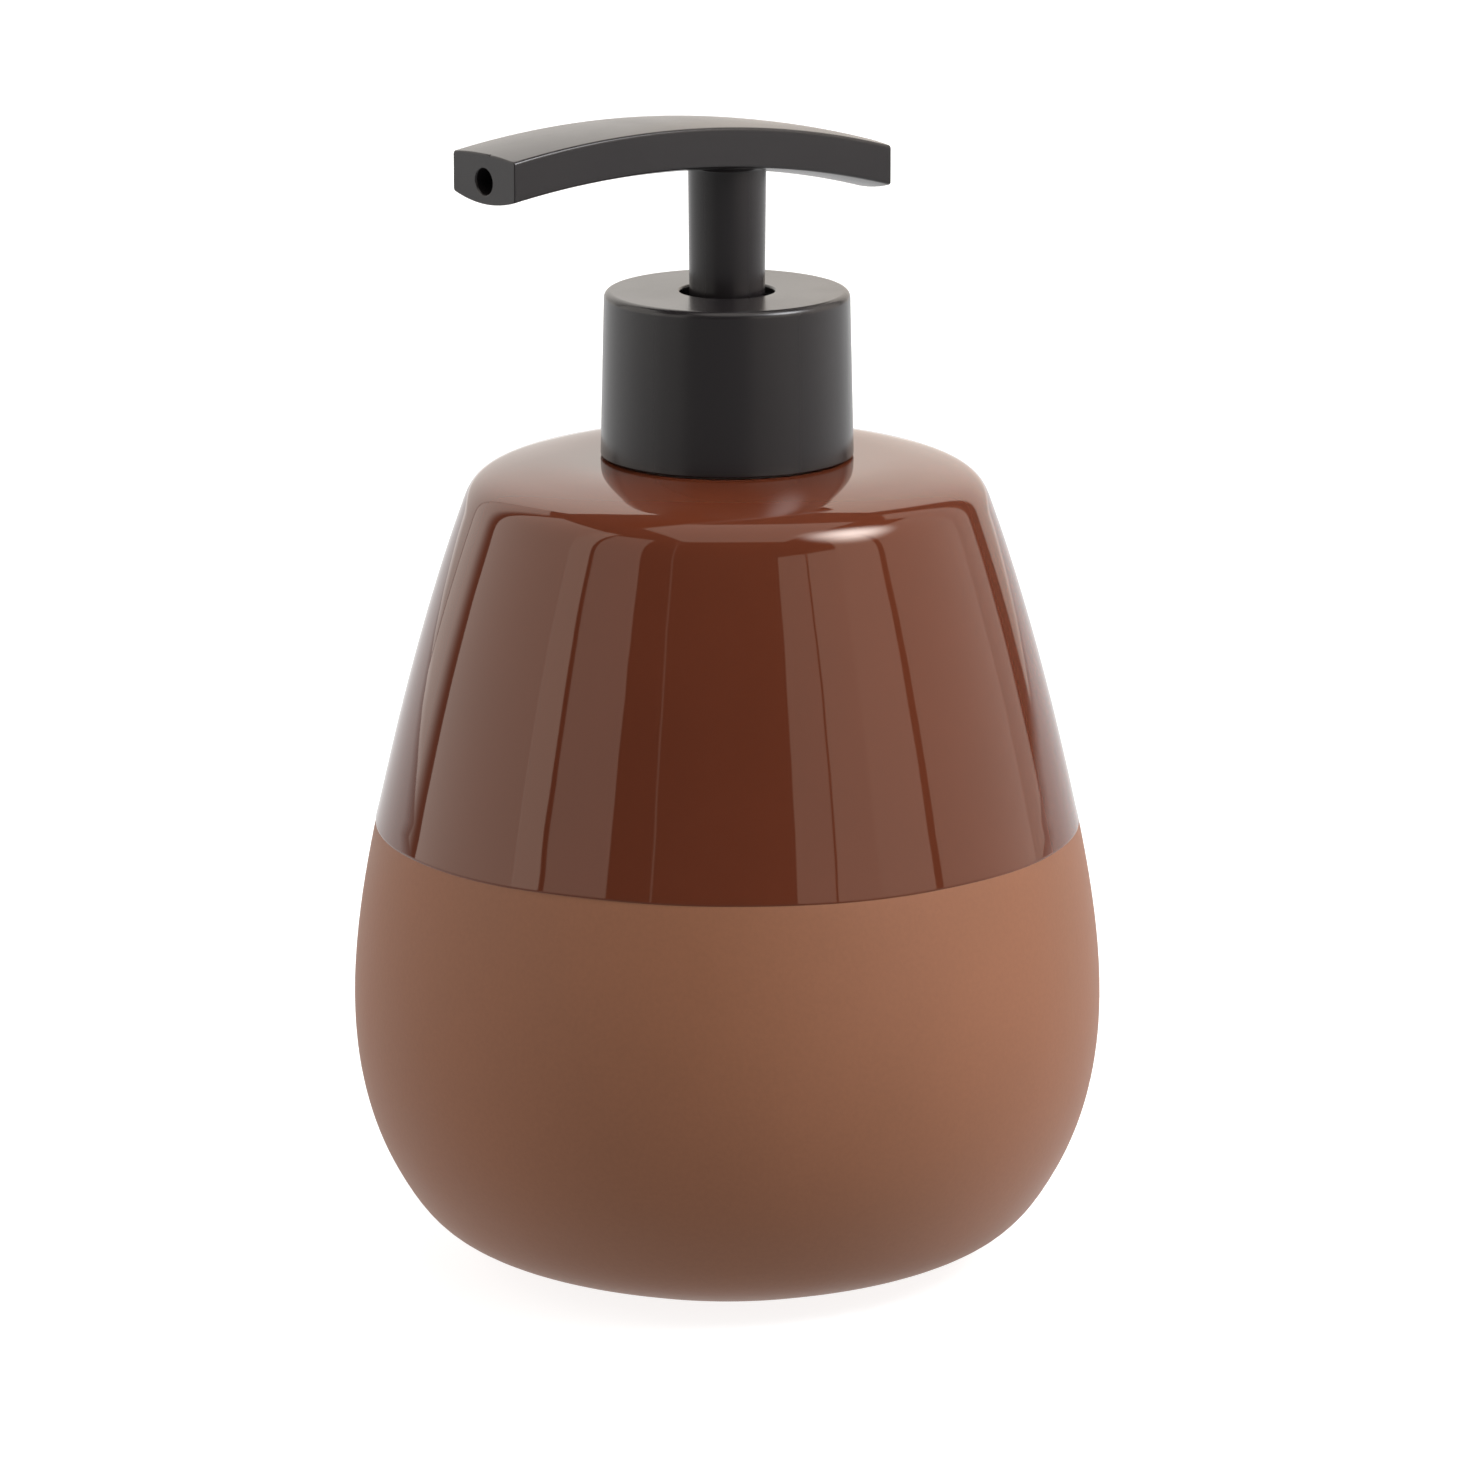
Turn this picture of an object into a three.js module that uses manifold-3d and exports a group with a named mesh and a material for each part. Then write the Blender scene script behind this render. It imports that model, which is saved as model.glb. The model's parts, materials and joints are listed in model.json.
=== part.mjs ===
// A ceramic soap pump dispenser: a bellied bottle, glazed above its waist, with a threaded ring glued in
// its mouth, and a lotion pump whose collar screws onto that ring.
// Millimetres, +Z up. The origin is on the bottle's axis, on the surface it stands on. The spout
// points along -X at rest.

import * as THREE from "three";
import { mergeVertices } from "three/addons/utils/BufferGeometryUtils.js";
import Module from "manifold-3d";

const wasm = await Module();
wasm.setup();

// ---------------------------------------------------------------- driving dimensions

const OVERALL_HEIGHT = 155;
const BELLY_R = 50;

const BOTTLE = {
  wall: 4.2,
  floorZ: 5,
  footR: 26.5, // the standing ring's outer radius
  footInnerR: 20.5,
  footRecess: 0.9,
  shelfZ: 108.9, // the flat land around the mouth
  mouthR: 12.5,
};

// The outer profile from the foot to the shelf. heading is the curve's direction in degrees, 0 outwards
// and 90 straight up; before and after are the lengths of its handles on each side of the station.
const PROFILE = [
  { r: BOTTLE.footR, z: 0, heading: 18.7, after: 11.1, steps: 4 },
  { r: 44.9, z: 13, heading: 61.4, before: 10.3, after: 7, steps: 4 },
  { r: BELLY_R, z: 35.3, heading: 90, before: 8.8, after: 12.1, steps: 4 },
  { r: 44.8, z: 68.8, heading: 103.1, before: 8.3, after: 10.6, steps: 3 },
  { r: 35.5, z: 101.2, heading: 109.7, before: 10.3, after: 3.9, steps: 5 },
  { r: 27.3, z: 108, heading: 167.7, before: 6.9, after: 4, steps: 2 },
  { r: 17, z: BOTTLE.shelfZ, heading: 180, before: 4 },
];

const GLAZE = { lineZ: 59.4, thickness: 0.35 };

// The one-start thread of a 28 mm closure.
const THREAD = {
  pitch: 4.23,
  turns: 1.5,
  startZ: 111.9, // the middle of the neck ring's ridge, where it starts
  rootR: 12.65,
  crestR: 13.85,
  capRootR: 14.1,
  capCrestR: 13,
  rootWidth: 2,
  crestWidth: 1.1,
  buried: 0.4, // how far each ridge reaches into its wall
  fadeTurns: 0.08,
  fadedShare: 0.1, // of the full ridge, at its very ends
};

const INSERT = {
  boreR: 9,
  plugR: 11.9,
  plugBottomZ: 103,
  flangeR: 15,
  flangeTopZ: 110,
  topZ: 120,
};

const COLLAR = {
  bottomZ: 109.15,
  topZ: 131,
  bottomR: 16.75,
  topR: 16.22,
  boreR: 15.1,
  ceilingZ: 129.7,
  holeR: 6.25,
  edgeRadius: 1,
  holeEdge: 0.3,
};

const CLOSURE = { outerR: 15, bottomZ: 110.4, ceilingZ: 122.85, topZ: 124.45, holeR: 9.5 };

const HOUSING = {
  flangeR: 12.2,
  flangeBottomZ: 121.2,
  flangeTopZ: 122.7,
  neckR: 9.2,
  topZ: 124.7,
  bodyR: 7.8,
  boreR: 6.6,
  boreBottomZ: 88,
  lowerR: 6.5,
  lowerBoreR: 5.3,
  shelfZ: 79.5, // the ledge that carries the ball cage and the spring
  ballBoreR: 2.7,
  seatZ: 73.7,
  throatR: 1.5,
  socketTopZ: 72.5,
  socketR: 3,
  nippleR: 4.2,
  nippleTopZ: 75,
  lowerBottomZ: 78.5,
  stepHeight: 2, // of the cone between the wide and the narrow part
  bottomZ: 66,
};

const GUIDE = {
  boreR: 5.4,
  plugR: 6.55,
  plugBottomZ: 117,
  capR: 11.5,
  capBottomZ: 124.8,
  capTopZ: 126.3,
  towerR: 6.9,
  topZ: 129.4,
  wiperSeatR: 6.2,
  wiperSeatZ: 128.2,
};

const STEM = {
  outerR: 3.5,
  slimR: 3,
  boreR: 2.2,
  bottomZ: 107,
  slimTopZ: 112.5,
  outerBottomZ: 113,
  topZ: 147,
  stopR: 6.1,
  stopBottomZ: 115.8,
  stopTopZ: 116.9,
  portZ: 111,
  portR: 0.8,
};

const PISTON = {
  boreR: 3.55,
  lipR: 6.55,
  rimR: 5.1,
  waistR: 5.7,
  bottomZ: 107.05,
  topZ: 113.8,
  lipHeight: 1.6,
  slopeHeight: 0.6,
};
const PISTON_SEAT = {
  tailR: 3.1, // inside the spring's top end
  tailBottomZ: 100.45,
  headR: 5.2,
  bottomZ: 103.5,
  topZ: 106.95,
  seatHeight: 1,
  spigotR: 2.15,
  spigotTopZ: 109.6,
};
const SPRING = { wireR: 0.45, coilR: 4, bottomZ: 80.65, topZ: 103.45, turns: 8, closedTurns: 1 };
const BALL = { r: 2, gap: 0.06 };
const CAGE = { outerR: 5.2, innerR: 3.1, bottomZ: 79.55, topZ: 80.6, barWidth: 1.1 };
const DIP_TUBE = { outerR: 2.95, boreR: 2, bottomZ: 6.8, topZ: 72.3, bevelRise: 3.5 };

const SLEEVE = {
  topR: 5.14, // at the bar, with the mould's draft below it
  bottomR: 4.92,
  boreR: 3.55,
  bottomZ: 124,
  stemSeatZ: 147.1,
  shoulderZ: 148.2,
  spigotR: 3.9,
  topZ: 149.5,
  outletR: 2.2,
};

const BAR = {
  spoutLength: 40.4, // from the pump's axis to the end face with the outlet
  backLength: 22.9,
  width: 12.8,
  sideHeight: 5.2,
  topCrown: 0.4,
  bottomCrown: 1,
  archR: 150,
  apexShare: 1 / 3, // where the arch is highest, as a share of the length from the spout
};
const OUTLET = { mouthR: 1.7, innerR: 1.25, mouthZ: 149.85, innerZ: 151, chamberTopZ: 152.2 };

const GASKET = { innerR: 9.3, outerR: 12.4, bottomZ: 120.05, topZ: 121.15 };
const WIPER = { innerR: 5.2, outerR: 6.1, bottomZ: 128.25, topZ: 129.3 };
const ADHESIVE = { innerR: 11.95, outerR: 12.45, bottomZ: 104.9, topZ: 108.4 };

const BOTTLE_SEGMENTS = 48;
const PUMP_SEGMENTS = 28;

// ---------------------------------------------------------------- materials

const MATERIALS = {
  clay: new THREE.MeshStandardMaterial({ color: 0xa5694b, roughness: 0.75 }),
  glaze: new THREE.MeshStandardMaterial({ color: 0x65301f, roughness: 0.08 }),
  blackPlastic: new THREE.MeshStandardMaterial({ color: 0x232323, roughness: 0.45 }),
  naturalPlastic: new THREE.MeshStandardMaterial({ color: 0xe8e6df, roughness: 0.5 }),
  steel: new THREE.MeshStandardMaterial({ color: 0xb9bbbd, roughness: 0.25, metalness: 1 }),
  rubber: new THREE.MeshStandardMaterial({ color: 0x3a3a3c, roughness: 0.8 }),
  foam: new THREE.MeshStandardMaterial({ color: 0xf2f2ee, roughness: 0.9 }),
  adhesive: new THREE.MeshStandardMaterial({ color: 0xd9d4c4, roughness: 0.4 }),
};

// ---------------------------------------------------------------- geometry helpers

const degrees = (angle) => THREE.MathUtils.degToRad(angle);

// A closed profile of [radius, height] pairs, turned around the Z axis.
function turned(profile, segments = PUMP_SEGMENTS) {
  const points = profile.map(([r, z]) => new THREE.Vector2(r, z));
  return new THREE.LatheGeometry(points, segments).rotateX(degrees(90));
}

// A ring of rectangular section.
function ring(innerR, outerR, bottomZ, topZ, segments = PUMP_SEGMENTS) {
  const profile = [
    [innerR, bottomZ],
    [outerR, bottomZ],
    [outerR, topZ],
    [innerR, topZ],
    [innerR, bottomZ],
  ];
  return turned(profile, segments);
}

// A plain cylinder on the Z axis, used as a cutter.
function rod(radius, bottomZ, topZ) {
  const profile = [
    [0, bottomZ],
    [radius, bottomZ],
    [radius, topZ],
    [0, topZ],
  ];
  return turned(profile);
}

function toSolid(geometry) {
  const bare = geometry.clone();
  bare.deleteAttribute("normal");
  bare.deleteAttribute("uv");
  const merged = mergeVertices(bare, 1e-4);
  const vertProperties = merged.getAttribute("position").array;
  const triVerts = new Uint32Array(merged.index.array);
  return new wasm.Manifold(new wasm.Mesh({ numProp: 3, vertProperties, triVerts }));
}

function toGeometry(solid) {
  const { vertProperties, triVerts } = solid.getMesh();
  const geometry = new THREE.BufferGeometry();
  geometry.setAttribute("position", new THREE.BufferAttribute(vertProperties, 3));
  geometry.setIndex(new THREE.BufferAttribute(triVerts, 1));
  geometry.computeVertexNormals();
  return geometry;
}

const cut = (body, ...cutters) =>
  toGeometry(cutters.reduce((solid, cutter) => solid.subtract(toSolid(cutter)), toSolid(body)));

const join = (body, ...others) =>
  toGeometry(others.reduce((solid, other) => solid.add(toSolid(other)), toSolid(body)));

// A point of an outline moved inwards, across the outline, by a distance.
function inset(points, distance) {
  return points.map(([r, z], i) => {
    const [r0, z0] = points[Math.max(i - 1, 0)];
    const [r1, z1] = points[Math.min(i + 1, points.length - 1)];
    const length = Math.hypot(r1 - r0, z1 - z0);
    return [r - (distance * (z1 - z0)) / length, z + (distance * (r1 - r0)) / length];
  });
}

// The part of a rising outline above a height, starting exactly on it.
function above(points, height) {
  const first = points.findIndex(([, z]) => z > height);
  const [r0, z0] = points[first - 1];
  const [r1, z1] = points[first];
  const r = r0 + ((r1 - r0) * (height - z0)) / (z1 - z0);
  return [[r, height], ...points.slice(first)];
}

// A trapezoid ridge wound around the Z axis. A straight extrusion, one unit to the turn, is bent into
// the helix, and the ridge fades into its wall over the first and last part of a turn.
function threadRidge(wallR, crestR, startZ) {
  const { turns, pitch, fadeTurns, fadedShare } = THREAD;
  const halfRoot = THREAD.rootWidth / 2;
  const halfCrest = THREAD.crestWidth / 2;
  const section = new THREE.Shape([
    new THREE.Vector2(wallR, -halfRoot),
    new THREE.Vector2(crestR, -halfCrest),
    new THREE.Vector2(crestR, halfCrest),
    new THREE.Vector2(wallR, halfRoot),
  ]);
  const steps = Math.round(turns * PUMP_SEGMENTS);
  const options = { depth: turns, steps, bevelEnabled: false };
  const geometry = new THREE.ExtrudeGeometry(section, options);
  const position = geometry.getAttribute("position");
  for (let i = 0; i < position.count; i++) {
    const turn = position.getZ(i);
    const fade = Math.min(1, fadedShare + Math.min(turn, turns - turn) / fadeTurns);
    const r = wallR + (position.getX(i) - wallR) * fade;
    const z = startZ + pitch * turn - position.getY(i) * fade;
    const angle = 2 * Math.PI * turn;
    position.setXYZ(i, r * Math.cos(angle), r * Math.sin(angle), z);
  }
  return geometry;
}

// ---------------------------------------------------------------- bottle

// The outer outline from the foot to the mouth, each curve in its share of the stated steps.
function bottleOutline(fineness) {
  const handle = ({ r, z, heading }, length) =>
    new THREE.Vector2(r + length * Math.cos(degrees(heading)), z + length * Math.sin(degrees(heading)));
  const outline = [];
  for (let i = 0; i + 1 < PROFILE.length; i++) {
    const [from, to] = [PROFILE[i], PROFILE[i + 1]];
    const curve = new THREE.CubicBezierCurve(
      new THREE.Vector2(from.r, from.z),
      handle(from, from.after),
      handle(to, -to.before),
      new THREE.Vector2(to.r, to.z),
    );
    const points = curve.getPoints(Math.ceil(from.steps * fineness)).map(({ x, y }) => [x, y]);
    outline.push(...(i === 0 ? points : points.slice(1)));
  }
  outline.push([BOTTLE.mouthR, BOTTLE.shelfZ]);
  return outline;
}

const OUTLINE = bottleOutline(1);
const GLAZED_OUTLINE = above(OUTLINE, GLAZE.lineZ);

// The clay body: thinner by the glaze above the glaze line, hollow, with a recessed foot.
function bottle() {
  const bareOutline = OUTLINE.filter(([, z]) => z < GLAZE.lineZ);
  const coatGap = 0.02;
  const underGlaze = inset(GLAZED_OUTLINE, GLAZE.thickness + coatGap);
  const cavity = above(inset(bottleOutline(0.5), BOTTLE.wall), BOTTLE.floorZ);
  const profile = [
    [0, BOTTLE.footRecess],
    [BOTTLE.footInnerR - 1, BOTTLE.footRecess],
    [BOTTLE.footInnerR, 0],
    ...bareOutline,
    GLAZED_OUTLINE[0],
    ...underGlaze,
    ...cavity.reverse(),
    [0, BOTTLE.floorZ],
  ];
  return turned(profile, BOTTLE_SEGMENTS);
}

function glazeCoat() {
  const inner = inset(GLAZED_OUTLINE, GLAZE.thickness).reverse();
  return turned([...GLAZED_OUTLINE, ...inner, GLAZED_OUTLINE[0]], BOTTLE_SEGMENTS);
}

function insertAdhesive() {
  return ring(ADHESIVE.innerR, ADHESIVE.outerR, ADHESIVE.bottomZ, ADHESIVE.topZ);
}

function neckInsert() {
  const body = turned([
    [INSERT.boreR, INSERT.plugBottomZ],
    [INSERT.plugR, INSERT.plugBottomZ],
    [INSERT.plugR, BOTTLE.shelfZ],
    [INSERT.flangeR, BOTTLE.shelfZ],
    [INSERT.flangeR, INSERT.flangeTopZ],
    [THREAD.rootR, INSERT.flangeTopZ],
    [THREAD.rootR, INSERT.topZ],
    [INSERT.boreR, INSERT.topZ],
    [INSERT.boreR, INSERT.plugBottomZ],
  ]);
  return join(body, threadRidge(THREAD.rootR - THREAD.buried, THREAD.crestR, THREAD.startZ));
}

// ---------------------------------------------------------------- closure

function threadedClosure() {
  const cap = turned([
    [THREAD.capRootR, CLOSURE.bottomZ],
    [CLOSURE.outerR, CLOSURE.bottomZ],
    [CLOSURE.outerR, CLOSURE.topZ],
    [CLOSURE.holeR, CLOSURE.topZ],
    [CLOSURE.holeR, CLOSURE.ceilingZ],
    [THREAD.capRootR, CLOSURE.ceilingZ],
    [THREAD.capRootR, CLOSURE.bottomZ],
  ]);
  const startZ = THREAD.startZ + THREAD.pitch / 2;
  return join(cap, threadRidge(THREAD.capRootR + THREAD.buried, THREAD.capCrestR, startZ));
}

function collarShell() {
  const { edgeRadius, topR, topZ } = COLLAR;
  const edge = [0, 30, 60, 90].map((angle) => [
    topR - edgeRadius * (1 - Math.cos(degrees(angle))),
    topZ - edgeRadius * (1 - Math.sin(degrees(angle))),
  ]);
  return turned([
    [COLLAR.boreR, COLLAR.bottomZ],
    [COLLAR.bottomR, COLLAR.bottomZ],
    ...edge,
    [COLLAR.holeR + COLLAR.holeEdge, topZ],
    [COLLAR.holeR, topZ - COLLAR.holeEdge],
    [COLLAR.holeR, COLLAR.ceilingZ],
    [COLLAR.boreR, COLLAR.ceilingZ],
    [COLLAR.boreR, COLLAR.bottomZ],
  ]);
}

// ---------------------------------------------------------------- pump core

function pumpHousing() {
  const ballTopZ = HOUSING.seatZ + HOUSING.ballBoreR - HOUSING.throatR;
  return turned([
    [HOUSING.socketR, HOUSING.bottomZ],
    [HOUSING.nippleR, HOUSING.bottomZ],
    [HOUSING.nippleR, HOUSING.nippleTopZ],
    [HOUSING.lowerR, HOUSING.lowerBottomZ],
    [HOUSING.lowerR, HOUSING.boreBottomZ - HOUSING.stepHeight],
    [HOUSING.bodyR, HOUSING.boreBottomZ],
    [HOUSING.bodyR, HOUSING.flangeBottomZ],
    [HOUSING.flangeR, HOUSING.flangeBottomZ],
    [HOUSING.flangeR, HOUSING.flangeTopZ],
    [HOUSING.neckR, HOUSING.flangeTopZ],
    [HOUSING.neckR, HOUSING.topZ],
    [HOUSING.boreR, HOUSING.topZ],
    [HOUSING.boreR, HOUSING.boreBottomZ],
    [HOUSING.lowerBoreR, HOUSING.boreBottomZ - HOUSING.stepHeight],
    [HOUSING.lowerBoreR, HOUSING.shelfZ],
    [HOUSING.ballBoreR, HOUSING.shelfZ],
    [HOUSING.ballBoreR, ballTopZ],
    [HOUSING.throatR, HOUSING.seatZ],
    [HOUSING.throatR, HOUSING.socketTopZ],
    [HOUSING.socketR, HOUSING.socketTopZ],
    [HOUSING.socketR, HOUSING.bottomZ],
  ]);
}

// The snap-in ring that closes the housing, holds the closure on and guides the stem.
function stemGuide() {
  return turned([
    [GUIDE.boreR, GUIDE.plugBottomZ],
    [GUIDE.plugR, GUIDE.plugBottomZ],
    [GUIDE.plugR, GUIDE.capBottomZ],
    [GUIDE.capR, GUIDE.capBottomZ],
    [GUIDE.capR, GUIDE.capTopZ],
    [GUIDE.towerR, GUIDE.capTopZ],
    [GUIDE.towerR, GUIDE.topZ],
    [GUIDE.wiperSeatR, GUIDE.topZ],
    [GUIDE.wiperSeatR, GUIDE.wiperSeatZ],
    [GUIDE.boreR, GUIDE.wiperSeatZ],
    [GUIDE.boreR, GUIDE.plugBottomZ],
  ]);
}

function stemWiper() {
  return ring(WIPER.innerR, WIPER.outerR, WIPER.bottomZ, WIPER.topZ);
}

function neckGasket() {
  return ring(GASKET.innerR, GASKET.outerR, GASKET.bottomZ, GASKET.topZ);
}

// A washer with a cross: it keeps the ball down and lets the soap pass.
function ballCage() {
  const washer = ring(CAGE.innerR, CAGE.outerR, CAGE.bottomZ, CAGE.topZ);
  const length = 2 * CAGE.innerR + 1;
  const height = CAGE.topZ - CAGE.bottomZ;
  const centreZ = (CAGE.topZ + CAGE.bottomZ) / 2;
  const bars = [0, 90].map((angle) =>
    new THREE.BoxGeometry(length, CAGE.barWidth, height).rotateZ(degrees(angle)).translate(0, 0, centreZ),
  );
  return join(washer, ...bars);
}

// The ball rests on the edge of the throat below it.
function inletBall() {
  const restHeight = Math.sqrt(BALL.r ** 2 - HOUSING.throatR ** 2);
  const centreZ = HOUSING.seatZ + restHeight + BALL.gap;
  return new THREE.SphereGeometry(BALL.r, 16, 10).rotateX(degrees(90)).translate(0, 0, centreZ);
}

function dipTube() {
  const tube = ring(DIP_TUBE.boreR, DIP_TUBE.outerR, DIP_TUBE.bottomZ, DIP_TUBE.topZ, 20);
  const size = 4 * DIP_TUBE.outerR;
  const slope = Math.atan2(DIP_TUBE.bevelRise, 2 * DIP_TUBE.outerR);
  const bevel = new THREE.BoxGeometry(2 * size, size, size)
    .translate(0, 0, -size / 2)
    .rotateY(slope)
    .translate(0, 0, DIP_TUBE.bottomZ + DIP_TUBE.bevelRise / 2);
  return cut(tube, bevel);
}

// A compression spring with a closed turn at each end.
class SpringLine extends THREE.Curve {
  getPoint(t, target = new THREE.Vector3()) {
    const { wireR, coilR, turns, closedTurns } = SPRING;
    const turn = t * turns;
    const wirePitch = 2.1 * wireR;
    const low = SPRING.bottomZ + wireR;
    const high = SPRING.topZ - wireR;
    const openTurns = turns - 2 * closedTurns;
    const openPitch = (high - low - 2 * closedTurns * wirePitch) / openTurns;
    const open = THREE.MathUtils.clamp(turn - closedTurns, 0, openTurns);
    const z = low + wirePitch * (turn - open) + openPitch * open;
    const angle = 2 * Math.PI * turn;
    return target.set(coilR * Math.cos(angle), coilR * Math.sin(angle), z);
  }
}

function returnSpring() {
  const wire = new THREE.Shape();
  wire.absarc(0, 0, SPRING.wireR, 0, 2 * Math.PI);
  const options = {
    steps: 12 * SPRING.turns,
    curveSegments: 3,
    extrudePath: new SpringLine(),
  };
  return new THREE.ExtrudeGeometry(wire, options);
}

// ---------------------------------------------------------------- plunger

// The plug that the spring pushes up, and that the piston closes against.
function pistonSeat() {
  const { tailR, tailBottomZ, headR, bottomZ, topZ, seatHeight, spigotR, spigotTopZ } = PISTON_SEAT;
  return turned([
    [0, tailBottomZ],
    [tailR, tailBottomZ],
    [tailR, bottomZ],
    [headR, bottomZ],
    [headR, topZ - seatHeight],
    [headR - seatHeight, topZ],
    [spigotR, topZ],
    [spigotR, spigotTopZ],
    [0, spigotTopZ],
  ]);
}

function piston() {
  const { boreR, lipR, rimR, waistR, bottomZ, topZ, lipHeight, slopeHeight } = PISTON;
  return turned([
    [boreR, bottomZ],
    [rimR, bottomZ],
    [lipR, bottomZ + slopeHeight],
    [lipR, bottomZ + lipHeight],
    [waistR, bottomZ + lipHeight + slopeHeight],
    [waistR, topZ - lipHeight - slopeHeight],
    [lipR, topZ - lipHeight],
    [lipR, topZ - slopeHeight],
    [rimR, topZ],
    [boreR, topZ],
    [boreR, bottomZ],
  ]);
}

// The hollow stem: slim where the piston's passage is, with two ports and a stop under the guide.
function pistonStem() {
  const tube = turned([
    [STEM.boreR, STEM.bottomZ],
    [STEM.slimR, STEM.bottomZ],
    [STEM.slimR, STEM.slimTopZ],
    [STEM.outerR, STEM.outerBottomZ],
    [STEM.outerR, STEM.stopBottomZ],
    [STEM.stopR, STEM.stopBottomZ],
    [STEM.stopR, STEM.stopTopZ],
    [STEM.outerR, STEM.stopTopZ],
    [STEM.outerR, STEM.topZ],
    [STEM.boreR, STEM.topZ],
    [STEM.boreR, STEM.bottomZ],
  ]);
  const port = new THREE.CylinderGeometry(STEM.portR, STEM.portR, 3 * STEM.slimR, 12);
  return cut(tube, port.translate(0, 0, STEM.portZ));
}

// ---------------------------------------------------------------- head

function headSleeve() {
  return turned([
    [SLEEVE.boreR, SLEEVE.bottomZ],
    [SLEEVE.bottomR, SLEEVE.bottomZ],
    [SLEEVE.topR, SLEEVE.shoulderZ],
    [SLEEVE.spigotR, SLEEVE.shoulderZ],
    [SLEEVE.spigotR, SLEEVE.topZ],
    [SLEEVE.outletR, SLEEVE.topZ],
    [SLEEVE.outletR, SLEEVE.stemSeatZ],
    [SLEEVE.boreR, SLEEVE.stemSeatZ],
    [SLEEVE.boreR, SLEEVE.bottomZ],
  ]);
}

const BAR_LENGTH = BAR.spoutLength + BAR.backLength;

// Height of the bar's upper side edges, a shallow arch along X.
function archZ(x) {
  const apexX = BAR_LENGTH * BAR.apexShare - BAR.spoutLength;
  const apexZ = OVERALL_HEIGHT - BAR.topCrown;
  return apexZ - BAR.archR + Math.sqrt(BAR.archR ** 2 - (x - apexX) ** 2);
}

// The tapered outlet channel, from the end face to the sleeve's chamber.
function outletChannel() {
  const mouth = new THREE.Vector3(-BAR.spoutLength - 1, 0, OUTLET.mouthZ);
  const inner = new THREE.Vector3(0, 0, OUTLET.innerZ);
  const along = inner.clone().sub(mouth);
  const channel = new THREE.CylinderGeometry(OUTLET.innerR, OUTLET.mouthR, along.length(), 16);
  const turn = new THREE.Quaternion().setFromUnitVectors(
    new THREE.Vector3(0, 1, 0),
    along.clone().normalize(),
  );
  const centre = mouth.clone().lerp(inner, 0.5);
  return channel.applyQuaternion(turn).translate(centre.x, centre.y, centre.z);
}

// The pressing bar: a crowned section swept along the arch, with the outlet and the sleeve's socket.
function nozzleBar() {
  const halfWidth = BAR.width / 2;
  const section = new THREE.Shape();
  section.moveTo(-halfWidth, 0);
  section.lineTo(-halfWidth, -BAR.sideHeight);
  section.quadraticCurveTo(0, -BAR.sideHeight - 2 * BAR.bottomCrown, halfWidth, -BAR.sideHeight);
  section.lineTo(halfWidth, 0);
  section.quadraticCurveTo(0, 2 * BAR.topCrown, -halfWidth, 0);
  const options = { depth: BAR_LENGTH, steps: 18, curveSegments: 6, bevelEnabled: false };
  const sweep = new THREE.ExtrudeGeometry(section, options);
  const position = sweep.getAttribute("position");
  for (let i = 0; i < position.count; i++) {
    const x = position.getZ(i) - BAR.spoutLength;
    position.setXYZ(i, x, position.getX(i), archZ(x) + position.getY(i));
  }
  const fit = 0.1;
  const spotFaceFit = 0.15;
  const underside = archZ(0) - BAR.sideHeight - BAR.bottomCrown - 1;
  const spotFace = rod(SLEEVE.topR + spotFaceFit, underside, SLEEVE.shoulderZ + fit);
  const socket = rod(SLEEVE.spigotR + fit, underside, SLEEVE.topZ + fit);
  const chamber = rod(SLEEVE.outletR, underside, OUTLET.chamberTopZ);
  return cut(sweep, spotFace, socket, chamber, outletChannel());
}

// ---------------------------------------------------------------- assembly

function mesh(name, geometry, material) {
  const made = new THREE.Mesh(geometry, material);
  made.name = name;
  return made;
}

function group(...children) {
  const made = new THREE.Group();
  made.add(...children);
  return made;
}

const { clay, glaze, blackPlastic, naturalPlastic, steel, rubber, foam, adhesive } = MATERIALS;

const bottleBody = group(
  mesh("bottle", bottle(), clay),
  mesh("glaze_coat", glazeCoat(), glaze),
  mesh("insert_adhesive", insertAdhesive(), adhesive),
  mesh("neck_insert", neckInsert(), naturalPlastic),
);

const closure = group(
  mesh("collar_shell", collarShell(), blackPlastic),
  mesh("threaded_closure", threadedClosure(), blackPlastic),
);

const pumpCore = group(
  mesh("neck_gasket", neckGasket(), foam),
  mesh("pump_housing", pumpHousing(), naturalPlastic),
  mesh("stem_guide", stemGuide(), blackPlastic),
  mesh("stem_wiper", stemWiper(), rubber),
  mesh("ball_cage", ballCage(), naturalPlastic),
  mesh("inlet_ball", inletBall(), steel),
  mesh("dip_tube", dipTube(), naturalPlastic),
  mesh("return_spring", returnSpring(), steel),
);

const plunger = group(
  mesh("piston_seat", pistonSeat(), naturalPlastic),
  mesh("piston", piston(), naturalPlastic),
  mesh("piston_stem", pistonStem(), naturalPlastic),
  mesh("head_sleeve", headSleeve(), blackPlastic),
  mesh("nozzle_bar", nozzleBar(), blackPlastic),
);

export default group(bottleBody, closure, pumpCore, plunger);
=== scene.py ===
"""The looks of a ceramic soap pump dispenser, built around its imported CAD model.

Every object is in metres, in the CAD model's frame: +Z up, the bottle's axis at the origin, the spout
along -X. Profiles are written in millimetres and scaled by MM.
"""

import json
import math

import bpy
import numpy as np
from mathutils import Matrix, Vector


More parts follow.
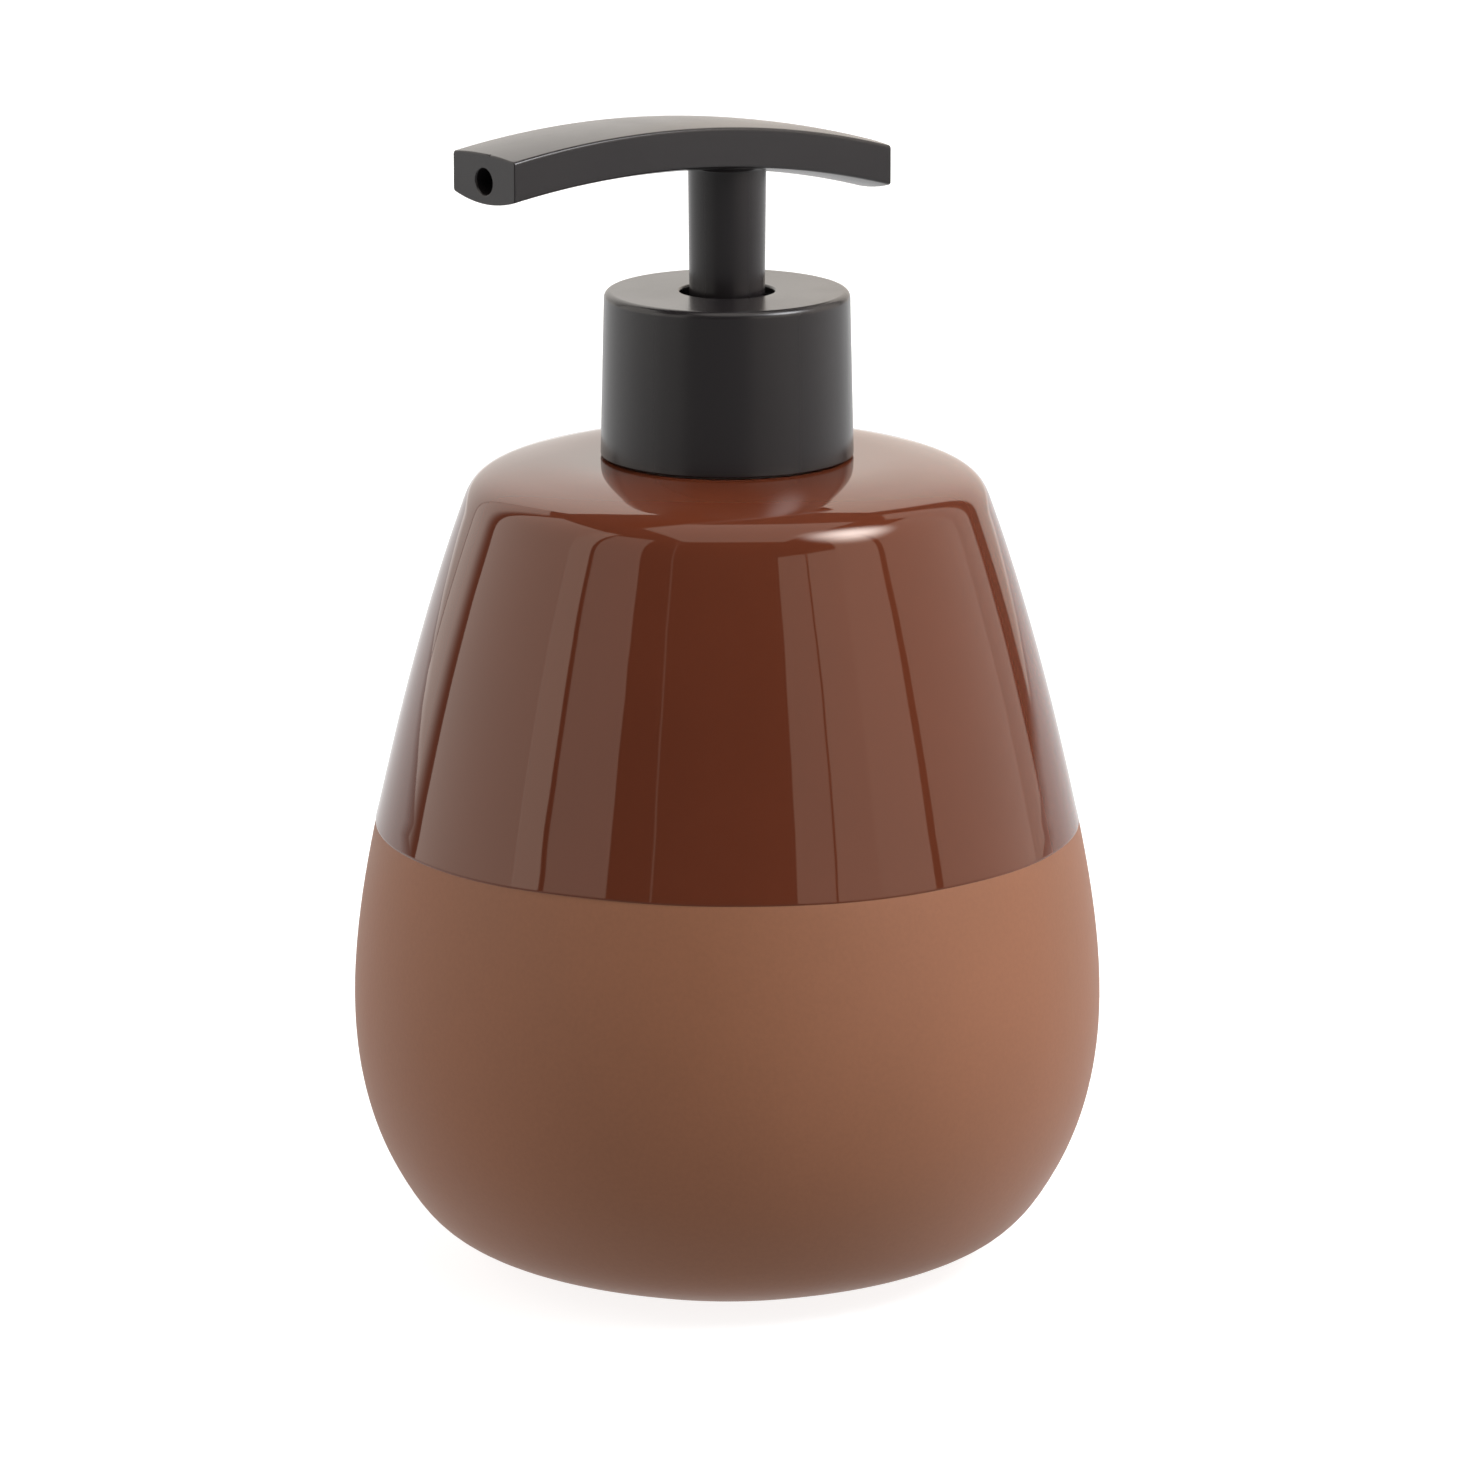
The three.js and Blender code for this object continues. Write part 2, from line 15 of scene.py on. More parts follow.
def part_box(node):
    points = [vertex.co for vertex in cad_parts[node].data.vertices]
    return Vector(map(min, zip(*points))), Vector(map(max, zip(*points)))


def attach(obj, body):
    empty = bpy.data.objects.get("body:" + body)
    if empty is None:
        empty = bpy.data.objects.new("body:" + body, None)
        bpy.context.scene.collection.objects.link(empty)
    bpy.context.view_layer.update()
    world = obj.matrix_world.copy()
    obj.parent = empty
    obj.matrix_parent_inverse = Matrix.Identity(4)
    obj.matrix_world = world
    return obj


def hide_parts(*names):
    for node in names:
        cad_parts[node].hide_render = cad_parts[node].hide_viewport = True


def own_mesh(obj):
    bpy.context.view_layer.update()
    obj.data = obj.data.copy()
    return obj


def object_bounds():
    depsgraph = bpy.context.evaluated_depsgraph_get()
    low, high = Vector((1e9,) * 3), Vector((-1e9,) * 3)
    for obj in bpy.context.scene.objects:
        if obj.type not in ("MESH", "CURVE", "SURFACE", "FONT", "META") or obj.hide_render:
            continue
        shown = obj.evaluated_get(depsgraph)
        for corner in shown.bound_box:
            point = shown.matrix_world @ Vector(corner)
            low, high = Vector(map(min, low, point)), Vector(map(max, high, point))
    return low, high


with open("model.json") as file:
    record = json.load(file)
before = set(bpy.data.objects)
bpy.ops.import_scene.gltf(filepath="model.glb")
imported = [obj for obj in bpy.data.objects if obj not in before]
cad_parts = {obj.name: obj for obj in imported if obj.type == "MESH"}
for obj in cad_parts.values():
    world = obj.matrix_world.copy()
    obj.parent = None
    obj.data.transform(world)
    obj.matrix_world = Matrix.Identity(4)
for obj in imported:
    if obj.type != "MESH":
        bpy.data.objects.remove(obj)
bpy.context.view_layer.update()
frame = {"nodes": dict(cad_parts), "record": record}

MM = 0.001
FINE_SEGMENTS = 240
INNER_SEGMENTS = 96


def mm_box(node):
    """A CAD node's lowest and highest corner at rest, in millimetres."""
    low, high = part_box(node)
    return low / MM, high / MM


# ---------------------------------------------------------------- camera

CAMERA_AZIMUTH = -39.6
CAMERA_ELEVATION = 13.72
CAMERA_DISTANCE = 1.09165
AIM_HEIGHT = 0.07061
AIM_RIGHT = 0.00104
LENS = 200.3


def direction(azimuth, elevation):
    """The unit vector from the object towards a place; azimuth 0 is -Y and 90 is +X."""
    a, e = math.radians(azimuth), math.radians(elevation)
    return Vector((math.sin(a) * math.cos(e), -math.cos(a) * math.cos(e), math.sin(e)))


def make_camera():
    """A long lens that looks slightly down on the object, the spout towards the camera's left."""
    data = bpy.data.cameras.new("camera")
    data.lens = LENS
    data.sensor_width = 36
    data.clip_start = 0.05
    data.clip_end = 50
    camera = bpy.data.objects.new("camera", data)
    bpy.context.scene.collection.objects.link(camera)
    a = math.radians(CAMERA_AZIMUTH)
    aim = Vector((AIM_RIGHT * math.cos(a), AIM_RIGHT * math.sin(a), AIM_HEIGHT))
    back = direction(CAMERA_AZIMUTH, CAMERA_ELEVATION)
    camera.location = aim + CAMERA_DISTANCE * back
    camera.rotation_euler = back.to_track_quat("Z", "Y").to_euler()
    bpy.context.scene.camera = camera


# ---------------------------------------------------------------- light and floor

LIGHT_DISTANCE = 1.6
LIGHT_CENTRE = Vector((0, 0, 0.08))
PANEL_COLOR = (1.0, 0.95, 0.89)
RIGHT_PANEL_COLOR = (1.0, 0.91, 0.82)

# Upright soft panels around the object. Azimuths are in degrees from the camera's side, positive to
# its right. An edge that isn't upright or sharp is (azimuth at the foot, azimuth at the top, degrees
# over which the light fades in from there; negative where it fades in towards lower azimuths).
PANELS = {
    # name: start, end, top elevation, brightness at the foot and at the top, edge
    "front_slit": (-24.3, -23.7, 45, 0.7, 0.7, None),
    "left_front": (-60.5, -38.5, 47, 1.15, 1.2, None),
    "left_near": (-72.5, -62.5, 50, 1.85, 1.9, None),
    "left": (-119, -72.5, 52, 1.5, 1.7, None),
    "back_left_edge": (-140.5, -120, 46, 1.25, 1.4, (-120.5, -120.5, -9)),
    "back_left": (-181, -141, 52, 0.85, 2.4, None),
    "back_right": (127, 179, 50, 0.9, 2.2, (137, 151, 1.2)),
    "right_edge": (117, 140, 52, 1.0, 1.3, (128, 139, -0.6)),
    "right": (72.5, 117, 46, 1.4, 1.4, None),
    "right_middle": (50, 69.5, 40, 1.6, 1.6, None),
    "right_front": (36, 50, 27, 1.4, 1.45, None),
    "right_near": (22.5, 35.2, 27, 1.2, 1.25, None),
}
PANEL_FOOT = -3.5

# The panel overhead: its edges, in metres, across the view and towards the camera, and its height.
OVERHEAD = (-0.55, 0.75, -0.42, 1.26, 1.5)
OVERHEAD_BRIGHTNESS = 1.45

# The small bright light to the right: azimuth, elevation, size in degrees, brightness in its middle.
KEY = (69, 46, 44, 40, 21)
KEY_COLOR = (0.96, 0.97, 1.0)

# The faint light from the room, the light that a table would send up behind and in front of the
# object, the heights (as sines) between which one passes into the other, and the backdrop's brightness.
LIGHT_AROUND = 0.09
LIGHT_BELOW = 1.0
LIGHT_BELOW_IN_FRONT = 0.37
HORIZON = (-0.078, -0.044)
BACKDROP = 1.05

# The floor's half width, its drop below the object's foot, in metres, its grey and its own light.
FLOOR_HALF = 6.0
FLOOR_DROP = 0.00005
FLOOR_GREY = 0.35
FLOOR_GLOW = 0.85


def add_light(name, width, height, location, back, color):
    """A rectangular area light that shines against its back vector, and its shader tree."""
    data = bpy.data.lights.new(name, "AREA")
    data.shape = "RECTANGLE"
    data.size = width
    data.size_y = height
    data.color = color
    data.energy = math.pi * width * height
    light = bpy.data.objects.new(name, data)
    bpy.context.scene.collection.objects.link(light)
    light.location = location
    light.rotation_euler = back.to_track_quat("Z", "Y").to_euler()
    light.visible_camera = False
    data.use_nodes = True
    return data.node_tree


def ramp_node(tree, value, start, end, at_start, at_end, smooth=False):
    """A socket that goes from one value to another while its input goes from start to end."""
    node = tree.nodes.new("ShaderNodeMapRange")
    node.interpolation_type = "SMOOTHSTEP" if smooth else "LINEAR"
    values = {"From Min": start, "From Max": end, "To Min": at_start, "To Max": at_end}
    for socket, number in values.items():
        node.inputs[socket].default_value = number
    tree.links.new(value, node.inputs["Value"])
    return node.outputs["Result"]


def vector_node(tree, operation, first, second):
    node = tree.nodes.new("ShaderNodeVectorMath")
    node.operation = operation
    tree.links.new(first, node.inputs[0])
    node.inputs[1].default_value = second
    return node.outputs["Value"]


def make_panel(name, start, end, top, low, high, edge):
    """One upright panel, brighter or fainter towards its top, and faded in along its soft edge."""
    z_low = LIGHT_DISTANCE * math.tan(math.radians(PANEL_FOOT))
    z_high = LIGHT_DISTANCE * math.tan(math.radians(top))
    width = 2 * LIGHT_DISTANCE * math.tan(math.radians((end - start) / 2))
    back = direction(CAMERA_AZIMUTH + (start + end) / 2, 0)
    location = LIGHT_CENTRE + LIGHT_DISTANCE * back + Vector((0, 0, (z_low + z_high) / 2))
    color = RIGHT_PANEL_COLOR if start > 0 else PANEL_COLOR
    tree = add_light("panel_" + name, width, z_high - z_low, location, back, color)
    place = tree.nodes.new("ShaderNodeNewGeometry").outputs["Parametric"]
    height = vector_node(tree, "DOT_PRODUCT", place, (0, 1, 0))
    strength = ramp_node(tree, height, 0, 1, low, high)
    if edge:
        at_foot, at_top, soft = edge
        beyond = vector_node(tree, "DOT_PRODUCT", place, (end - start, at_foot - at_top, 0))
        fade = ramp_node(tree, beyond, at_foot - start, at_foot + soft - start, 0, 1, smooth=True)
        product = tree.nodes.new("ShaderNodeMath")
        product.operation = "MULTIPLY"
        tree.links.new(strength, product.inputs[0])
        tree.links.new(fade, product.inputs[1])
        strength = product.outputs["Value"]
    tree.links.new(strength, tree.nodes["Emission"].inputs["Strength"])


def make_overhead():
    """The level panel above, turned with the camera."""
    left, right, far, near, height = OVERHEAD
    across = direction(CAMERA_AZIMUTH + 90, 0)
    towards = direction(CAMERA_AZIMUTH, 0)
    location = LIGHT_CENTRE + (left + right) / 2 * across + (far + near) / 2 * towards
    location.z += height
    tree = add_light("overhead", right - left, near - far, location, Vector((0, 0, 1)), PANEL_COLOR)
    light = bpy.data.objects["overhead"]
    light.rotation_euler = (0, 0, math.radians(CAMERA_AZIMUTH))
    tree.nodes["Emission"].inputs["Strength"].default_value = OVERHEAD_BRIGHTNESS


def make_key():
    """The small bright light, which fades out towards its rim."""
    azimuth, elevation, width, height, brightness = KEY
    back = direction(CAMERA_AZIMUTH + azimuth, elevation)
    w = 2 * LIGHT_DISTANCE * math.tan(math.radians(width / 2))
    h = 2 * LIGHT_DISTANCE * math.tan(math.radians(height / 2))
    tree = add_light("key", w, h, LIGHT_CENTRE + LIGHT_DISTANCE * back, back, KEY_COLOR)
    place = tree.nodes.new("ShaderNodeNewGeometry").outputs["Parametric"]
    distance = vector_node(tree, "DISTANCE", place, (0.5, 0.5, 0))
    strength = ramp_node(tree, distance, 0, 0.5, brightness, 0, smooth=True)
    tree.links.new(strength, tree.nodes["Emission"].inputs["Strength"])


def make_world():
    """White behind the object for the camera; for the object a faint light all round, and a stronger one
    from below, as a lit table sends up."""
    world = bpy.data.worlds.new("studio")
    bpy.context.scene.world = world
    world.use_nodes = True
    tree = world.node_tree
    background = tree.nodes["Background"]
    background.inputs["Color"].default_value = (1, 1, 1, 1)
    place = tree.nodes.new("ShaderNodeTexCoord").outputs["Generated"]
    height = vector_node(tree, "DOT_PRODUCT", place, (0, 0, 1))
    frontness = vector_node(tree, "DOT_PRODUCT", place, direction(CAMERA_AZIMUTH, 0))
    below = ramp_node(tree, frontness, -0.3, 0.8, LIGHT_BELOW, LIGHT_BELOW_IN_FRONT)
    around = ramp_node(tree, height, *HORIZON, LIGHT_BELOW, LIGHT_AROUND)
    tree.links.new(below, around.node.inputs["To Min"])
    path = tree.nodes.new("ShaderNodeLightPath")
    strength = tree.nodes.new("ShaderNodeMapRange")
    strength.inputs["To Max"].default_value = BACKDROP
    tree.links.new(around, strength.inputs["To Min"])
    tree.links.new(path.outputs["Is Camera Ray"], strength.inputs["Value"])
    tree.links.new(strength.outputs["Result"], background.inputs["Strength"])


def make_floor():
    mesh = bpy.data.meshes.new("floor")
    corners = [(FLOOR_HALF * x, FLOOR_HALF * y, 0) for x, y in ((-1, -1), (1, -1), (1, 1), (-1, 1))]
    mesh.from_pydata(corners, [], [(0, 1, 2, 3)])
    floor = bpy.data.objects.new("floor", mesh)
    floor.location.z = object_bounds()[0][2] - FLOOR_DROP
    bpy.context.scene.collection.objects.link(floor)
    material = bpy.data.materials.new("floor")
    material.use_nodes = True
    shader = material.node_tree.nodes["Principled BSDF"]
    shader.inputs["Base Color"].default_value = (FLOOR_GREY, FLOOR_GREY, FLOOR_GREY, 1)
    shader.inputs["Roughness"].default_value = 0.9
    shader.inputs["Specular IOR Level"].default_value = 0.1
    shader.inputs["Emission Color"].default_value = (1, 1, 1, 1)
    shader.inputs["Emission Strength"].default_value = FLOOR_GLOW
    mesh.materials.append(material)
    floor.visible_glossy = False
    floor.visible_diffuse = False
    floor.visible_shadow = False


def make_stage():
    make_world()
    make_floor()
    for name, panel in PANELS.items():
        make_panel(name, *panel)
    make_overhead()
    make_key()
    view = bpy.context.scene.view_settings
    view.view_transform = "Standard"
    view.look = "None"


# ---------------------------------------------------------------- material helpers


class Shader:
    """A Principled material with short ways to add procedural detail in object space, in metres."""

    def __init__(self, name, color, roughness, **sockets):
        self.material = bpy.data.materials.new(name)
        self.material.use_nodes = True
        self.tree = self.material.node_tree
        self.shader = self.tree.nodes["Principled BSDF"]
        self.coordinates = self.tree.nodes.new("ShaderNodeTexCoord").outputs["Object"]
        self.set("Base Color", (*color, 1))
        self.set("Roughness", roughness)
        for socket, value in sockets.items():
            self.set(socket.replace("_", " "), value)

    def set(self, socket, value):
        self.shader.inputs[socket].default_value = value

    def link(self, output, socket):
        self.tree.links.new(output, self.shader.inputs[socket])

    def noise(self, size, detail=3.0, stretch=(1, 1, 1)):
        """Noise whose features are about size metres across."""
        mapping = self.tree.nodes.new("ShaderNodeMapping")
        mapping.inputs["Scale"].default_value = [s / size for s in stretch]
        self.tree.links.new(self.coordinates, mapping.inputs["Vector"])
        noise = self.tree.nodes.new("ShaderNodeTexNoise")
        noise.inputs["Scale"].default_value = 1.0
        noise.inputs["Detail"].default_value = detail
        self.tree.links.new(mapping.outputs["Vector"], noise.inputs["Vector"])
        return noise.outputs["Fac"]

    def specks(self, spacing, radius):
        """1 in small round spots about spacing apart, 0 elsewhere."""
        cells = self.tree.nodes.new("ShaderNodeTexVoronoi")
        cells.inputs["Scale"].default_value = 1 / spacing
        self.tree.links.new(self.coordinates, cells.inputs["Vector"])
        return self.ramp(cells.outputs["Distance"], radius, radius * 0.5)

    def ramp(self, value, low, high, to_low=0.0, to_high=1.0):
        return ramp_node(self.tree, value, low, high, to_low, to_high)

    def mix(self, factor, first, second):
        """A colour mixed from two colours; each is a tuple or a socket."""
        node = self.tree.nodes.new("ShaderNodeMix")
        node.data_type = "RGBA"
        self.tree.links.new(factor, node.inputs[0])
        for index, color in ((6, first), (7, second)):
            if isinstance(color, tuple):
                node.inputs[index].default_value = (*color, 1)
            else:
                self.tree.links.new(color, node.inputs[index])
        return node.outputs[2]

    def bump(self, *heights):
        """Adds bumps, each a (height socket, depth in metres) pair, from the finest to the broadest."""
        normal = None
        for height, depth in heights:
            node = self.tree.nodes.new("ShaderNodeBump")
            node.inputs["Strength"].default_value = 1.0
            node.inputs["Distance"].default_value = depth
            self.tree.links.new(height, node.inputs["Height"])
            if normal is not None:
                self.tree.links.new(normal, node.inputs["Normal"])
            normal = node.outputs["Normal"]
        self.link(normal, "Normal")


def clay_material():
    m = Shader("clay", (0.242, 0.098, 0.052), 0.62)
    m.set("Specular IOR Level", 0.35)
    m.set("Sheen Weight", 0.14)
    m.set("Sheen Roughness", 0.4)
    cloud = m.ramp(m.noise(0.03, 4), 0.35, 0.65)
    grain = m.noise(0.0006, 2)
    color = m.mix(cloud, (0.240, 0.098, 0.049), (0.260, 0.106, 0.054))
    color = m.mix(m.ramp(grain, 0.3, 0.7, 0.0, 0.18), color, (0.18, 0.072, 0.039))
    m.link(color, "Base Color")
    m.link(m.ramp(cloud, 0, 1, 0.58, 0.66), "Roughness")
    m.bump((grain, 0.000012), (m.noise(0.012, 3), 0.00008))
    return m.material


def glaze_material():
    m = Shader("glaze", (0.104, 0.0255, 0.0112), 0.035)
    m.set("Specular Tint", (1.0, 0.86, 0.76, 1))
    m.set("IOR", 1.5)
    cloud = m.ramp(m.noise(0.025, 4), 0.35, 0.65)
    color = m.mix(cloud, (0.100, 0.0245, 0.0107), (0.109, 0.0267, 0.0118))
    m.link(color, "Base Color")
    pits = m.specks(0.011, 0.012)
    m.bump((pits, -0.00003), (m.noise(0.009, 1), 0.00002), (m.noise(0.04, 1), 0.0001))
    return m.material


def black_plastic_material():
    m = Shader("black_plastic", (0.0145, 0.0125, 0.0135), 0.3)
    m.set("IOR", 1.46)
    grain = m.noise(0.00025, 2)
    wear = m.ramp(m.noise(0.012, 4), 0.3, 0.7)
    m.link(m.ramp(wear, 0, 1, 0.22, 0.27), "Roughness")
    m.bump((grain, 0.0000045))
    return m.material


def natural_plastic_material():
    m = Shader("natural_plastic", (0.72, 0.72, 0.69), 0.38)
    m.set("Subsurface Weight", 0.3)
    m.set("Subsurface Radius", (0.002, 0.002, 0.002))
    cloud = m.ramp(m.noise(0.008, 3), 0.3, 0.7)
    m.link(m.mix(cloud, (0.69, 0.69, 0.655), (0.75, 0.75, 0.72)), "Base Color")
    m.bump((m.noise(0.0008, 2), 0.000006))
    return m.material


def clear_tube_material():
    m = Shader("clear_tube", (0.80, 0.81, 0.79), 0.25)
    m.set("Transmission Weight", 0.55)
    m.set("IOR", 1.51)
    lines = m.noise(0.0005, 2, stretch=(1, 1, 0.02))
    m.link(m.ramp(lines, 0.3, 0.7, 0.2, 0.32), "Roughness")
    m.bump((lines, 0.000008))
    return m.material


def steel_material():
    m = Shader("steel", (0.62, 0.62, 0.61), 0.22, Metallic=1.0)
    drawn = m.noise(0.0003, 2, stretch=(1, 1, 3))
    m.link(m.ramp(drawn, 0.3, 0.7, 0.16, 0.32), "Roughness")
    m.link(m.mix(drawn, (0.56, 0.56, 0.55), (0.68, 0.68, 0.67)), "Base Color")
    m.bump((drawn, 0.000004))
    return m.material


def rubber_material():
    m = Shader("rubber", (0.018, 0.018, 0.019), 0.6)
    m.link(m.mix(m.noise(0.004, 3), (0.015, 0.015, 0.016), (0.024, 0.024, 0.025)), "Base Color")
    m.bump((m.noise(0.0004, 3), 0.00001))
    return m.material


def foam_material():
    m = Shader("foam", (0.80, 0.80, 0.77), 0.85)
    cells = m.noise(0.0005, 4)
    m.link(m.mix(cells, (0.70, 0.70, 0.67), (0.86, 0.86, 0.83)), "Base Color")
    m.bump((cells, 0.00008))
    return m.material


def silicone_material():
    m = Shader("silicone", (0.60, 0.58, 0.51), 0.32)
    m.set("Subsurface Weight", 0.25)
    m.link(m.mix(m.noise(0.003, 3), (0.55, 0.53, 0.46), (0.66, 0.64, 0.57)), "Base Color")
    m.bump((m.noise(0.002, 3), 0.00008))
    return m.material


MATERIALS = {
    "clay": clay_material(),
    "glaze": glaze_material(),
    "black_plastic": black_plastic_material(),
    "natural_plastic": natural_plastic_material(),
    "clear_tube": clear_tube_material(),
    "steel": steel_material(),
    "rubber": rubber_material(),
    "foam": foam_material(),
    "silicone": silicone_material(),
}


# ---------------------------------------------------------------- mesh helpers


def with_modifiers(name, mesh, modifiers):
    """A mesh as it is after the modifiers, each a (kind, settings) pair, are applied."""
    target = bpy.data.objects.new(name, mesh)
    bpy.context.scene.collection.objects.link(target)
    for kind, settings in modifiers:
        modifier = target.modifiers.new(kind.lower(), kind)
        for setting, value in settings.items():
            setattr(modifier, setting, value)
    bpy.context.view_layer.update()
    evaluated = target.evaluated_get(bpy.context.evaluated_depsgraph_get())
    result = bpy.data.meshes.new_from_object(evaluated)
    result.name = name
    bpy.data.objects.remove(target)
    return result


def finish_piece(name, mesh, body, slot, replaces, sharp_angle=40):
    """Links a mesh as a piece that rides on a body, wears a slot's material and replaces CAD nodes."""
    mesh.materials.clear()
    mesh.materials.append(MATERIALS[slot])
    mesh.shade_smooth()
    mesh.set_sharp_from_angle(angle=math.radians(sharp_angle))
    mesh = with_modifiers(name, mesh, [("WEIGHTED_NORMAL", {"keep_sharp": True})])
    piece = bpy.data.objects.new(name, mesh)
    bpy.context.scene.collection.objects.link(piece)
    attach(piece, body)
    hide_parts(*replaces)
    return piece


def mesh_from(name, points, faces):
    mesh = bpy.data.meshes.new(name)
    mesh.from_pydata([tuple(p) for p in np.asarray(points, float) * MM], [], faces)
    mesh.validate()
    mesh.update()
    return mesh


def rounded(corners, steps=5):
    """A closed outline of (x, y, radius) corners, in which each corner becomes an arc of its radius."""
    points = []
    for i, (x, y, radius) in enumerate(corners):
        here = np.array((x, y), float)
        before = np.array(corners[i - 1][:2], float) - here
        after = np.array(corners[(i + 1) % len(corners)][:2], float) - here
        if radius <= 0:
            points.append(here)
            continue
        u, v = before / np.linalg.norm(before), after / np.linalg.norm(after)
        half = math.acos(np.clip(u @ v, -1, 1)) / 2
        if half > math.radians(89):
            points.append(here)
            continue
        centre = here + (u + v) / np.linalg.norm(u + v) * radius / math.sin(half)
        start = here + u * radius / math.tan(half) - centre
        end = here + v * radius / math.tan(half) - centre
        turn = math.pi - 2 * half
        for k in range(steps + 1):
            t = k / steps
            arc = math.sin((1 - t) * turn) * start + math.sin(t * turn) * end
            points.append(centre + arc / math.sin(turn))
    return points


def lathe_mesh(name, outline, segments=FINE_SEGMENTS, shift=None):
    """Turns a closed outline of (radius, height) points around Z. Points on the axis become one vertex.
    shift(angle, radius, height) may move a point, as on a surface that isn't quite round."""
    on_axis = 1e-9
    rows, points, faces = [], [], []
    angles = np.arange(segments) * 2 * math.pi / segments
    for r, z in outline:
        if r < on_axis:
            rows.append([len(points)] * segments)
            points.append((0, 0, z))
            continue
        rows.append(list(range(len(points), len(points) + segments)))
        for angle in angles:
            rr, zz = shift(angle, r, z) if shift else (r, z)
            points.append((rr * math.cos(angle), rr * math.sin(angle), zz))
    closes = min(outline[0][0], outline[-1][0]) > on_axis
    pairs = list(zip(rows, rows[1:])) + ([(rows[-1], rows[0])] if closes else [])
    for low, high in pairs:
        for j in range(segments):
            k = (j + 1) % segments
            face = list(dict.fromkeys((low[j], low[k], high[k], high[j])))
            if len(face) > 2:
                faces.append(face)
    return mesh_from(name, points, faces)


def skinned_mesh(name, sections, flip=False):
    """A closed skin over a row of sections with as many points each. Sections that run anticlockwise,
    seen along the row, face outwards; flip turns the faces round."""
    n = len(sections[0])
    faces = []
    for row in range(len(sections) - 1):
        for j in range(n):
            a, b = row * n + j, row * n + (j + 1) % n
            faces.append((a, a + n, b + n, b))
    last = (len(sections) - 1) * n
    faces += [tuple(range(n)), tuple(range(last, last + n))[::-1]]
    if flip:
        faces = [face[::-1] for face in faces]
    return mesh_from(name, [point for section in sections for point in section], faces)


# ---------------------------------------------------------------- bottle

# The outer profile: radius, height, heading in degrees (0 outwards, 90 straight up) and the lengths of
# the curve's handles before and after each station.
PROFILE = [
    (26.5, 0, 18.7, 0, 11.1),
    (44.9, 13, 61.4, 10.3, 7),
    (50, 35.3, 90, 8.8, 12.1),
    (44.8, 68.8, 103.1, 8.3, 10.6),
    (35.5, 101.2, 109.7, 10.3, 3.9),
    (27.3, 108, 167.7, 6.9, 4),
    (17, 108.9, 180, 4, 0),
]
SHOULDER_Z = PROFILE[-1][1]
MOUTH_R = 12.5
FOOT_R = 20.5
FOOT_RECESS = 0.9
WALL = 4.2
FLOOR_Z = 5
CURVE_STEPS = 16

# The height of the glaze's edge, how far up from there the glaze follows the edge's waves, how deep the
# clay lies under the glaze, the glaze's own thickness, and how proud of the clay it stands: not at all
# under the collar, and from there outwards gradually more.
GLAZE_LINE = mm_box("glaze_coat")[0].z + 0.07
WAVE_HEIGHT = 6
CLAY_UNDER = 0.25
GLAZE_THICKNESS = 0.3
GLAZE_PROUD = 0.03
PROUD_FROM_R, PROUD_R = 18, 26


def bottle_outline():
    """The outer outline from the foot's edge to the mouth."""
    points = []
    for (r0, z0, h0, _, after), (r1, z1, h1, before, _) in zip(PROFILE, PROFILE[1:]):
        a = np.array((r0, z0), float)
        d = np.array((r1, z1), float)
        b = a + after * np.array((math.cos(math.radians(h0)), math.sin(math.radians(h0))))
        c = d - before * np.array((math.cos(math.radians(h1)), math.sin(math.radians(h1))))
        for t in np.linspace(0, 1, CURVE_STEPS + 1)[1 if points else 0:]:
            s = 1 - t
            points.append(s**3 * a + 3 * s * s * t * b + 3 * s * t * t * c + t**3 * d)
    points.append(np.array((MOUTH_R, SHOULDER_Z), float))
    return np.array(points)


def inset(points, distance):
    """An outline moved inwards by a distance."""
    tangent = np.gradient(points, axis=0)
    tangent /= np.linalg.norm(tangent, axis=1)[:, None]
    return points - distance * np.stack([tangent[:, 1], -tangent[:, 0]], axis=1)


def glaze_wave(angle):
    """How far the dipped glaze's edge lies above its mean height, all round."""
    waves = ((0.16, 2, 0.6), (0.09, 5, 2.1), (0.04, 11, 0.0))
    return sum(height * math.sin(count * angle + phase) for height, count, phase in waves)


def make_bottle():
    """The hollow clay body, thinner where the glaze lies on it."""
    outline = bottle_outline()
    glazed = outline[:, 1] > GLAZE_LINE + 1.2
    clay = np.where(glazed[:, None], inset(outline, CLAY_UNDER), outline)[:-1]
    cavity = inset(outline, WALL)
    cavity = cavity[(cavity[:, 1] > FLOOR_Z + 1.5) & (cavity[:, 0] > MOUTH_R)][::-1]
    foot = [(0, FOOT_RECESS), (FOOT_R - 1.6, FOOT_RECESS), (FOOT_R - 0.9, FOOT_RECESS - 0.12)]
    foot += [(FOOT_R - 0.3, 0.25), (FOOT_R + 0.3, 0.03), (FOOT_R + 0.9, 0.0), (25.6, 0.0)]
    floor = [(cavity[-1][0] - 3.2, FLOOR_Z + 0.35), (cavity[-1][0] - 7, FLOOR_Z), (0, FLOOR_Z)]
    lip = [(MOUTH_R, SHOULDER_Z - 0.4), (MOUTH_R, SHOULDER_Z - 4), (MOUTH_R + 0.6, SHOULDER_Z - 4.2)]
    mesh = lathe_mesh("bottle_body", [*foot, *clay, *lip, *cavity, *floor])
    finish_piece("bottle_body", mesh, "bottle_body", "clay", ["bottle"])


